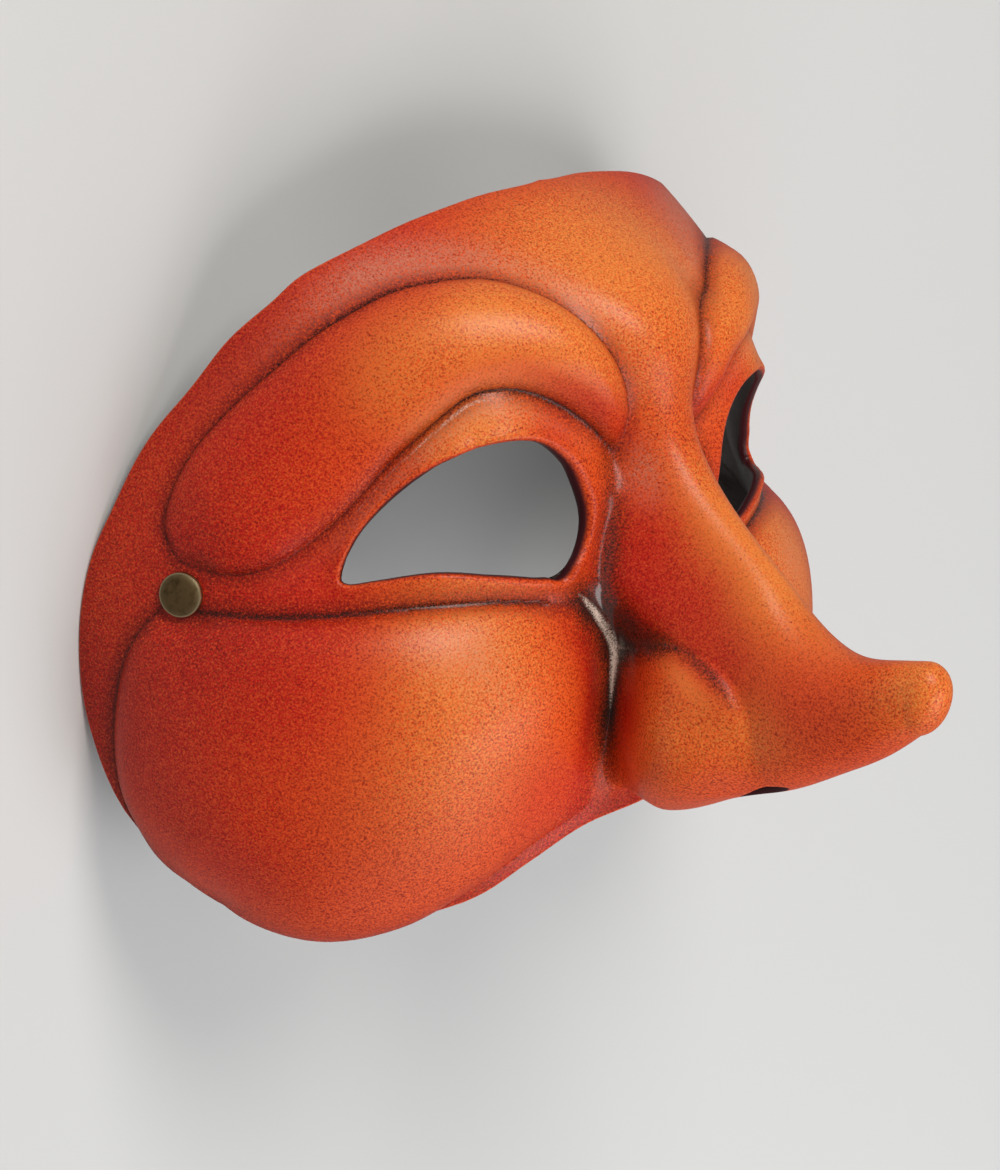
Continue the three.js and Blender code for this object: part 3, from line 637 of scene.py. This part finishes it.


# The crease of the wing and the groove take black paint; the other rows carry painted highlights on the
# wing, the brow crest, the nose root and the cheek, and a painted shadow by the inner corner of the eye
wing_crease = settled(line([[13, -9, 9], [13, -8.5, 15], [13.2, -9.8, 21.5], [13, -13, 26.5],
                            [13, -17, 29.5]]))
wing_highlight = settled(line([[14, -11, 14], [15, -13, 20], [14.5, -17, 24.5]]))
groove_floor = settled(line([[20.5, 0.7, -2.2], [16.5, -4.1, -2], [12, -10, -1.9], [10.6, -14, -2],
                             [11, -20, -2.9], [10.8, -24, -3.3], [10.5, -30, -2.8], [11.3, -37.5, -2.5]]))
groove_arm = settled(line([[11, -12.5, -0.5], [13.2, -10.4, 6.8], [13.2, -8.6, 11.6]]))
eye_corner_shade = line([[11.2, 26.2, -3.3], [13.3, 16.6, -0.3], [14.1, 7.8, -0.4], [15.3, 0.4, -1.1]])
brow_crest = line([[46, 52, -18], [38, 54.5, -13], [31, 54.5, -8]])
nose_root_highlight = line([[8.8, 26, 2], [8.8, 22.5, 3.2], [8.8, 19, 4.4]])
cheek_highlight = line([[50, -6, -9], [45, -8, -6], [42, -13, -4]])
# red along the brow's underside, beside the groove and round the rim: partly red paint, partly painted shade
red_and_shade_rows = [(face(aside(brow_low, -3.5)), 3.5, [0.5, 0.6, 0.6, 0.5, 0.4, 0.3, 0.1, 0, 0.1, 0.2, 0.3]),
            (face(aside(cheek_front, -4)), 4, [0.3, 0.7, 0.8, 0.8, 0.7, 0.6]),
            (face(rim), 5, [0.3, 0.3, 0.4, 0.6, 0.6, 0.5, 0.5, 0.6, 0.7])]
# black in the groove and the wing's crease; along the rim and at the eye's inner corner it is painted shade
black_and_shade_rows = [(groove_floor, 2.8, [0.3, 0.9, 1, 1, 1, 1, 1, 1, 0.8, 0.3]), (groove_arm, 2.4, [1, 0.9, 0.5]),
              (face(aside(cheek_front, -3)), 4, [0.1, 0.22, 0.25, 0.25, 0.2, 0.15]),
              (face(rim), 6, [0, 0.05, 0.1, 0.2, 0.3, 0.3, 0.25]),
              (wing_crease, 1.3, [0.9, 0.7, 0.7, 0.6, 0.2]), (eye_corner_shade, 2.8, [0.35, 0.6, 0.7, 0.8])]
# smoky overspray above the brow under a painted sheen; painted sheen on the lid fold, nose root and cheek
smoke_and_sheen_rows = [(face(aside(brow_top, -3)), 5, [0, 0, 0, 0.1, 0.3, 0.6, 0.8, 0.8, 0.4, 0.1, 0, 0, 0]),
              (face(aside(brow_low, 3)), 2, [0, 0, 0.1, 0.3, 0.4, 0.4, 0.3, 0.1, 0, 0]),
              (nose_root_highlight, 3.5, [0.3, 0.6, 0.3]), (cheek_highlight, 6, [0.2, 0.4, 0.2])]
# painted highlights on the wing of the nose and along the brow crest
highlight_rows = [(wing_highlight, 2.6, [0.4, 0.8, 0.9, 0.5]), (brow_crest, 2.4, [0.3, 0.8, 0.4])]
# A black line runs in each crease. A painted highlight runs along the fold under the brow,
# and a painted reflection runs down the groove beside the nose
creases = [
    (face(brow_top), [0.2, 0.2, 0.3, 0.5, 0.7, 0.9, 0.9, 1, 0.8, 0.6, 0.5, 0.4, 0.3]),
    (face(brow_low), [0.3, 0.6, 0.8, 1, 1, 0.9, 0.7, 0.5, 0.4, 0.3, 0.3, 0.4]),
    (face(cheek_top), [0.7, 0.8, 0.9, 1, 1, 0.9, 0.8, 0.7]),
    (face(cheek_back), [0.4, 1, 1, 0.9, 0.8, 0.7, 0.5, 0.5]),
]
highlight_lines = [
    (face(aside(brow_low, 1.5)), [0, 0, 0, 0.1, 0.3, 0.45, 0.25, 0.05, 0, 0]),
    (groove_floor, [0.3, 0.8, 1, 1, 0.95, 0.8, 0.5, 0.15, 0, 0]),
    (groove_arm, [0.5, 0.2, 0]),
]


def line_distance(places, lines):
    """Distance to the nearest painted line; where a line is faint the distance is never small."""
    nearest = np.full(len(places), 99.0)
    for row, strengths in lines:
        strength = np.interp(np.linspace(0, 1, len(row)), np.linspace(0, 1, len(strengths)), strengths)
        for i in range(0, len(places), at_once):
            some = places[i:i + at_once]
            closest = ((some[:, None] - row[None]) ** 2).sum(-1).argmin(1)
            faintness = 1.2 * (1 - strength[closest])
            nearest[i:i + at_once] = np.minimum(nearest[i:i + at_once], distance_to(row, some) + faintness)
    return nearest


# Where each paint, painted highlight and painted shade lies, worked out on the outer skin of the right half
flat = np.stack([np.abs(outer[:, 0]), outer[:, 1]], -1)
flat[:len(sheet_flat)] = sheet_flat
fields = {
    "from_crease": line_distance(outer, creases),
    "from_highlight_line": line_distance(outer, highlight_lines),
    "yellow_and_highlight": 1 - (1 - blobs(outer, yellow_and_highlight_spots)) * (1 - strokes(outer, highlight_rows)),
    "red_and_shade": 1 - (1 - blobs(outer, red_and_shade_spots)) * (1 - strokes(outer, red_and_shade_rows)),
    "black_and_shade": 1 - (1 - blobs(outer, black_and_shade_spots)) * (1 - strokes(outer, black_and_shade_rows)),
    "smoke_and_sheen": strokes(outer, smoke_and_sheen_rows) * ~inside(brow, flat),
    "from_edge": np.minimum(distance_to(rim_edge, flat), distance_to(hole_edge, flat)),
}

# The punches made new points: a point that stood there before keeps its paint, any other is a hole's wall
uncut = KDTree(len(before_punching))
for i, spot in enumerate(before_punching):
    uncut.insert(spot, i)
uncut.balance()
nearest = [uncut.find(spot) for spot in corner_places()]
origin = np.array([hit[1] for hit in nearest])
punched = np.array([hit[2] for hit in nearest]) > 1e-6

# Round a cut edge "from_edge" falls from 0 at the outer side to -1 at the inner side, and it is -2 inside
far_off, inner_side, hole_wall = 9.0, -2.0, -0.5
falling = -np.arange(1, edge_steps) / edge_steps
rounding = np.concatenate([np.repeat(falling, n_rim), np.repeat(falling, n_eye)])
for name, outside in fields.items():
    rest = {"from_crease": far_off, "from_highlight_line": far_off, "from_edge": inner_side}.get(name, 0.0)
    behind = np.full(len(inner), rest)
    on_edges = np.full(len(rounding), rest)
    if name == "from_edge":
        behind[:n_rim + n_eye] = -1
        on_edges = rounding
    half = np.concatenate([outside, behind, on_edges])
    values = np.concatenate([half, half[~shared]])[origin]
    values[punched] = hole_wall if name == "from_edge" else rest
    mesh.attributes.new(name, "FLOAT", "POINT").data.foreach_set("value", values.astype(np.float32))
mesh.polygons.foreach_set("use_smooth", [True] * len(mesh.polygons))


def srgb(r, g, b):
    """A colour given as it looks, as the shader wants it."""
    linear = [((v / 255 + 0.055) / 1.055) ** 2.4 if v > 10 else v / 255 / 12.92 for v in (r, g, b)]
    return tuple(linear) + (1.0,)


def node(tree, kind, values=None, **settings):
    """A shader node with its settings and with a value or a link for each named input."""
    made = tree.nodes.new(kind)
    for name, value in settings.items():
        setattr(made, name, value)
    for name, value in (values or {}).items():
        if isinstance(value, bpy.types.NodeSocket):
            tree.links.new(value, made.inputs[name])
        else:
            made.inputs[name].default_value = value
    return made


def group_of(name, inputs, outputs):
    """An empty shader node group with named sockets, and its two ends."""
    tree = bpy.data.node_groups.new(name, "ShaderNodeTree")
    for label, kind, value in inputs:
        tree.interface.new_socket(label, in_out="INPUT", socket_type=kind).default_value = value
    for label, kind in outputs:
        tree.interface.new_socket(label, in_out="OUTPUT", socket_type=kind)
    return tree, tree.nodes.new("NodeGroupInput"), tree.nodes.new("NodeGroupOutput")


def math_node(tree, operation, a, b=0.0, clamp=False):
    """One operation on two values."""
    return node(tree, "ShaderNodeMath", {0: a, 1: b}, operation=operation, use_clamp=clamp).outputs[0]


def fade(tree, value, low, high, to_low=0.0, to_high=1.0):
    """A smooth step of a value: to_low at low, to_high at high."""
    return node(tree, "ShaderNodeMapRange", {"Value": value, "From Min": low, "From Max": high,
                                              "To Min": to_low, "To Max": to_high},
                interpolation_type="SMOOTHSTEP").outputs["Result"]


# A cloud of paint broken into the fine dots that a spray gun leaves
speckle, speckle_in, speckle_out = group_of(
    "sprayed_dots", [("Cloud", "NodeSocketFloat", 0.5), ("Dot Size", "NodeSocketFloat", 0.5),
                     ("Roughen", "NodeSocketFloat", 0.5)], [("Cover", "NodeSocketFloat")])
place = node(speckle, "ShaderNodeTexCoord").outputs["Object"]
dots_per_metre = math_node(speckle, "DIVIDE", 1000.0, speckle_in.outputs["Dot Size"])
dots = node(speckle, "ShaderNodeTexNoise", {"Vector": place, "Scale": dots_per_metre, "Detail": 2.0,
                                            "Roughness": 0.7}).outputs["Fac"]
off_middle = math_node(speckle, "SUBTRACT", dots, 0.5)
spread = math_node(speckle, "MULTIPLY", off_middle, speckle_in.outputs["Roughen"])
# Dots count most where the cloud is neither thin nor full: 4 times cloud times what is left of it
cloud = speckle_in.outputs["Cloud"]
left_clear = math_node(speckle, "SUBTRACT", 1.0, cloud)
half_full = math_node(speckle, "MULTIPLY", math_node(speckle, "MULTIPLY", cloud, left_clear), 4.0)
broken = math_node(speckle, "ADD", cloud, math_node(speckle, "MULTIPLY", spread, half_full), clamp=True)
speckle.links.new(broken, speckle_out.inputs["Cover"])

leather = bpy.data.materials.new("painted_leather")
leather.use_nodes = True
tree = leather.node_tree
tree.nodes.clear()


def painted(name, share=1.0):
    """One of the mask's paint fields, or a share of it."""
    field = node(tree, "ShaderNodeAttribute", attribute_name=name).outputs["Fac"]
    return field if share == 1.0 else math_node(tree, "MULTIPLY", field, share)


def noise(scale, detail, roughness=0.5):
    """A cloudy pattern through the piece, so many waves to the metre."""
    return node(tree, "ShaderNodeTexNoise", {"Vector": at, "Scale": scale, "Detail": detail,
                                             "Roughness": roughness}).outputs["Fac"]


def bumps(height, strength):
    """Fine unevenness, a tenth of a millimetre high."""
    return node(tree, "ShaderNodeBump", {"Strength": strength, "Distance": 0.0001,
                                         "Height": height}).outputs["Normal"]


def sprayed(cloud, dot_size=0.42, roughen=3.0):
    """A cloud of paint as dots of a size in millimetres."""
    made = node(tree, "ShaderNodeGroup")
    made.node_tree = speckle
    tree.links.new(cloud, made.inputs["Cloud"])
    made.inputs["Dot Size"].default_value = dot_size
    made.inputs["Roughen"].default_value = roughen
    return made.outputs["Cover"]


def layer(below, above, cover):
    """One coat of colour over another, as far as the cover goes."""
    made = node(tree, "ShaderNodeMix", {"Factor": cover}, data_type="RGBA")
    for socket, colour in ((made.inputs["A"], below), (made.inputs["B"], above)):
        if isinstance(colour, bpy.types.NodeSocket):
            tree.links.new(colour, socket)
        else:
            socket.default_value = colour
    return made.outputs["Result"]


# the yellow, pink, pale, red and black colours also serve for painted highlights, sheen and shade
deep_orange = srgb(150, 24, 10)
orange = srgb(230, 84, 30)
yellow_and_highlight_paint = srgb(244, 146, 66)
red_and_shade_paint = srgb(200, 22, 17)
dark_speck = srgb(96, 10, 12)
light_speck = srgb(232, 92, 48)
smoke_and_sheen_paint = srgb(205, 128, 104)
crease_brown = srgb(120, 22, 14)
crease_black = srgb(44, 20, 16)
black_and_shade_paint = srgb(40, 24, 18)
highlight_paint = srgb(240, 216, 200)
edge_stain = srgb(62, 18, 24)
inner_stain = srgb(44, 30, 25)

at = node(tree, "ShaderNodeTexCoord").outputs["Object"]
black_and_shade = painted("black_and_shade")
from_crease = painted("from_crease")
from_edge = painted("from_edge")
grain = noise(2300.0, 3.0, 0.65)
# the leather's colour: dye, sprayed paint, and painted highlights and shade laid over them
surface_colour = layer(deep_orange, orange, fade(tree, grain, 0.3, 0.62))
# yellow paint and painted highlights
surface_colour = layer(surface_colour, yellow_and_highlight_paint, sprayed(painted("yellow_and_highlight", 0.8)))
# red paint and painted shade
surface_colour = layer(surface_colour, red_and_shade_paint, sprayed(painted("red_and_shade", 0.9)))
# the red is full of specks, darker and lighter, and there are a few everywhere
speckled = math_node(tree, "MULTIPLY", math_node(tree, "MAXIMUM", painted("red_and_shade"), 0.3), 0.7)
surface_colour = layer(surface_colour, dark_speck, math_node(tree, "MULTIPLY", fade(tree, grain, 0.5, 0.3), speckled))
surface_colour = layer(surface_colour, light_speck, math_node(tree, "MULTIPLY", fade(tree, grain, 0.5, 0.7), speckled))
# smoky overspray and painted sheen
surface_colour = layer(surface_colour, smoke_and_sheen_paint, sprayed(painted("smoke_and_sheen", 0.7)))
surface_colour = layer(surface_colour, crease_brown, sprayed(fade(tree, from_crease, 4.5, 0.2, 0.0, 0.6)))
surface_colour = layer(surface_colour, crease_black, sprayed(fade(tree, from_crease, 1.5, 0.1, 0.0, 0.75), 0.35, 3.5))
# black paint, and thin painted shade
surface_colour = layer(surface_colour, black_and_shade_paint, sprayed(black_and_shade, 0.38, 2.5))
# painted highlight: a pale line on the fold under the brow and a painted reflection down the groove
surface_colour = layer(surface_colour, highlight_paint, sprayed(fade(tree, painted("from_highlight_line"), 1.25, 0.1, 0.0, 0.95), 0.35))
surface_colour = layer(surface_colour, edge_stain, fade(tree, from_edge, -0.2, -0.5))
surface_colour = layer(surface_colour, inner_stain, fade(tree, from_edge, -0.8, -1.1))
# the wax is smoother where it is rubbed into the creases, and the black has a coat of its own
waxed = math_node(tree, "MAXIMUM", black_and_shade, fade(tree, from_crease, 2.0, 0.3))
shader = node(tree, "ShaderNodeBsdfPrincipled", {
    "Base Color": surface_colour, "Normal": bumps(noise(2200.0, 3.0), 0.6),
    "Roughness": fade(tree, waxed, 0.0, 1.0, 0.34, 0.26), "Specular IOR Level": 0.26,
    "Coat Weight": fade(tree, black_and_shade, 0.4, 1.0, 0.0, 0.8), "Coat Roughness": 0.14, "Coat IOR": 1.9})
node(tree, "ShaderNodeOutputMaterial", {"Surface": shader.outputs["BSDF"]})
mesh.materials.append(leather)
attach(mask, "root")
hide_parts("leather_mask")


# Temple rivets
# A tubular brass rivet through each temple holds the head strap: a flat domed cap outside, a shank through
# the leather and a flange behind. Each is turned in one piece; its cap is worn bright along the edge,
# and a painted highlight lies on that edge.
cap_radius, cap_edge, shank_radius, flange_radius = 4.3, 0.7, 1.5, 3.6
seat_gap, flange_bevel, cap_bevel = 0.35, 0.3, 0.15
brass = bpy.data.materials.new("antique_brass")
brass.use_nodes = True
tree = brass.node_tree
tree.nodes.clear()
brass_face = srgb(134, 110, 76)
brass_tarnish = srgb(98, 78, 48)
brass_wear_and_highlight = srgb(232, 214, 170)
at = node(tree, "ShaderNodeTexCoord").outputs["Object"]
colour = layer(brass_face, brass_tarnish, fade(tree, noise(420.0, 5.0, 0.65), 0.45, 0.7))
# worn edge with a painted highlight on it
wear_and_highlight = painted("worn_and_highlight")
shader = node(tree, "ShaderNodeBsdfPrincipled", {
    "Base Color": layer(colour, brass_wear_and_highlight, wear_and_highlight), "Normal": bumps(noise(2600.0, 2.0), 0.25),
    "Metallic": 1.0, "Roughness": fade(tree, wear_and_highlight, 0.0, 1.0, 0.45, 0.22)})
node(tree, "ShaderNodeOutputMaterial", {"Surface": shader.outputs["BSDF"]})

# The half section of a rivet in (radius, height), from the middle of its flange to the top of its domed cap
back = -leather_thickness - flange_gap
cap_top = seat_gap + cap_edge
profile = [(0.0, back - flange), (flange_radius - flange_bevel, back - flange),
           (flange_radius, back - flange + flange_bevel), (flange_radius, back), (shank_radius, back),
           (shank_radius, 0.0), (cap_radius - cap_bevel, 0.0), (cap_radius, cap_bevel),
           (cap_radius, cap_top - 0.3), (cap_radius - 0.12, cap_top), (cap_radius - 0.5, cap_top + 0.22),
           (0.7 * cap_radius, cap_top + 0.42), (0.4 * cap_radius, cap_top + 0.62), (0.0, cap_top + 0.68)]
steps = [(i, i + 1) for i in range(len(profile) - 1)]
for name, side in (("rivet_right", -1), ("rivet_left", 1)):
    wire = bpy.data.meshes.new(name + "_turned")
    wire.from_pydata([(r * MM, 0, h * MM) for r, h in profile], steps, [])
    turned = bpy.data.objects.new(name + "_turned", wire)
    bpy.context.collection.objects.link(turned)
    bpy.context.view_layer.objects.active = turned
    turned.select_set(True)
    bpy.ops.object.mode_set(mode="EDIT")
    bpy.ops.mesh.select_all(action="SELECT")
    bpy.ops.mesh.spin(steps=48, angle=2 * math.pi, center=(0, 0, 0), axis=(0, 0, 1))
    bpy.ops.mesh.select_all(action="SELECT")
    bpy.ops.mesh.remove_doubles(threshold=1e-7)
    bpy.ops.mesh.normals_make_consistent(inside=False)
    bpy.ops.object.mode_set(mode="OBJECT")
    across, aslant, high = np.array([vertex.co for vertex in wire.vertices]).T / MM
    near_edge = ease(cap_radius - 0.6, cap_radius - cap_bevel, np.hypot(across, aslant))
    bright = (near_edge * (high > cap_top - cap_bevel)).astype(np.float32)
    wire.attributes.new("worn_and_highlight", "FLOAT", "POINT").data.foreach_set("value", bright)
    way = Vector(to_row @ (rivet_way * [side, 1, 1]))
    place = Vector((to_row @ (rivet_seat_place * [side, 1, 1]) + offset) * MM)
    wire.transform(Matrix.Translation(place) @ way.to_track_quat("Z", "Y").to_matrix().to_4x4())
    bpy.ops.object.shade_smooth_by_angle(angle=math.radians(38))
    turned.select_set(False)
    wire.materials.append(brass)
    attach(turned, "root")
    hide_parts(name)


# The photograph's setting
# A plain pale floor, three soft lamps (over the forehead, low beside the cheek and from the front) and the
# camera where the photograph was taken from. The floor and the low lamp aren't mirrored in the wax.
bpy.ops.mesh.primitive_plane_add(size=6.0, location=(0, 0, 0))
floor = bpy.context.object
floor.name = "floor"
pale = bpy.data.materials.new("pale_floor")
pale.use_nodes = True
pale.node_tree.nodes["Principled BSDF"].inputs["Base Color"].default_value = (0.64, 0.645, 0.65, 1)
pale.node_tree.nodes["Principled BSDF"].inputs["Roughness"].default_value = 0.9
floor.data.materials.append(pale)
floor.visible_glossy = False
floor.select_set(False)

world = bpy.data.worlds.new("soft_room")
world.use_nodes = True
world.node_tree.nodes["Background"].inputs["Color"].default_value = (1.0, 0.98, 0.95, 1)
world.node_tree.nodes["Background"].inputs["Strength"].default_value = 0.22
bpy.context.scene.world = world


def softbox(name, place, towards, width, length, power, colour=(1, 1, 1)):
    """An oval lamp that shines from a place towards another; sizes in metres, power in watts."""
    lamp = bpy.data.lights.new(name, "AREA")
    lamp.shape, lamp.size, lamp.size_y, lamp.energy = "ELLIPSE", width, length, power
    lamp.color = colour
    held = bpy.data.objects.new(name, lamp)
    held.location = place
    held.rotation_euler = (Vector(towards) - Vector(place)).to_track_quat("-Z", "Y").to_euler()
    bpy.context.collection.objects.link(held)
    return held


softbox("key_softbox", place=(-0.25, 0.93, 0.74), towards=(0, 0, 0.05),
        width=0.35, length=0.8, power=9.2, colour=(1, 0.97, 0.9))
fill = softbox("low_softbox", place=(0.1, -0.85, 0.5), towards=(0, -0.2, 0.02),
               width=1.2, length=0.9, power=5.6)
fill.visible_glossy = False
softbox("front_softbox", place=(0.1, -0.3, 1.1), towards=(0, 0, 0.05), width=0.9, length=0.8, power=4.6)

camera_place = (-0.6124, 0.3143, 0.5784)
camera = bpy.data.objects.new("camera", bpy.data.cameras.new("camera"))
camera.data.sensor_width, camera.data.lens = 36, 137.594
camera.data.clip_start, camera.data.clip_end = 0.01, 20
sight, top = Vector((0.6920, -0.3715, -0.6189)).normalized(), Vector((0.2161, 0.9247, -0.3134))
across = sight.cross(top).normalized()
turn = Matrix((across, across.cross(sight), -sight)).transposed()
camera.matrix_world = Matrix.Translation(camera_place) @ turn.to_4x4()
bpy.context.collection.objects.link(camera)
bpy.context.scene.camera = camera
bpy.context.scene.view_settings.view_transform = "Standard"
